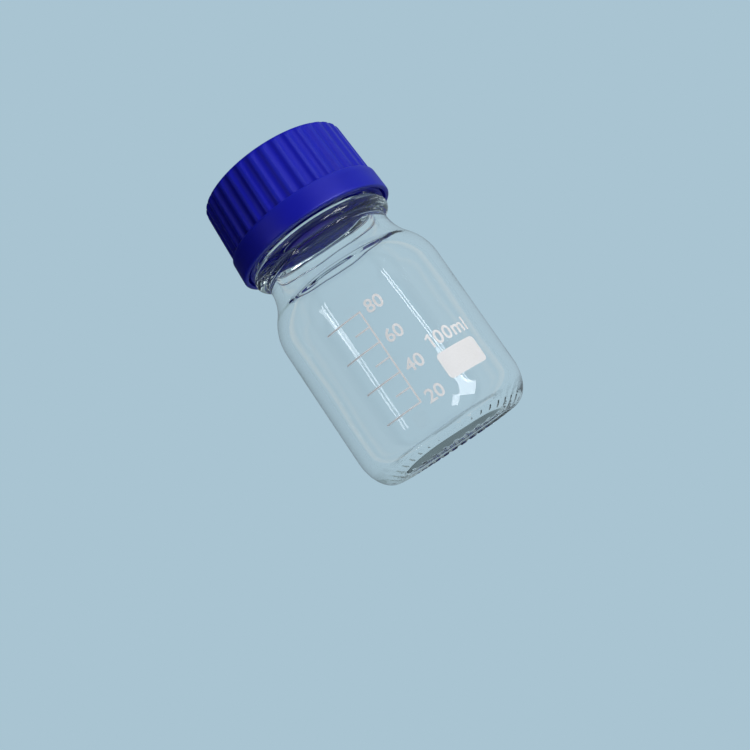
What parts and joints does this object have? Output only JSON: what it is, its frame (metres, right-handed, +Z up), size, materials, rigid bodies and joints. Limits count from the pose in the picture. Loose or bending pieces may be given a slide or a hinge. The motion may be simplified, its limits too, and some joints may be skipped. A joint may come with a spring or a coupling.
{
  "type": "screw-cap reagent bottle",
  "caption": "Round glass laboratory bottle with a screw neck, a clipped pouring ring, a sealing disc and a ribbed screw cap.",
  "frame": {"origin": "middle of the base, on the plane that the foot ring stands on", "axes": "+Z up along the axis of the bottle, from the base to the cap; -Y faces the printed scale"},
  "size_m": [0.056, 0.056, 0.1029],
  "materials": {
    "borosilicate_glass": "clear blown borosilicate glass, glossy",
    "ring_polypropylene": "moulded blue polypropylene, satin",
    "liner_silicone": "blue silicone sheet, matt",
    "cap_polypropylene": "moulded deep blue polypropylene, satin with a fine mould texture",
    "white_enamel": "white fired-on enamel of the printed scale, figures and writing field, slightly matt"
  },
  "bodies": {
    "bottle": {"bottle": "borosilicate_glass", "pouring_ring": "ring_polypropylene"},
    "liner": {"cap_liner": "liner_silicone"},
    "cap": {"screw_cap": "cap_polypropylene"}
  },
  "joints": [
    {"name": "cap_rise", "type": "slide", "parent": "bottle", "child": "liner", "axis": [0, 0, 1], "range_m": [0, 0.024]},
    {"name": "cap_turn", "type": "hinge", "parent": "liner", "child": "cap", "pos_m": [0, 0, 0.09], "axis": [0, 0, 1], "range_deg": [0, 2160]}
  ],
  "couplings": [
    {"joint": "cap_rise", "follows": "cap_turn", "m_per_rad": 0.00063662}
  ]
}
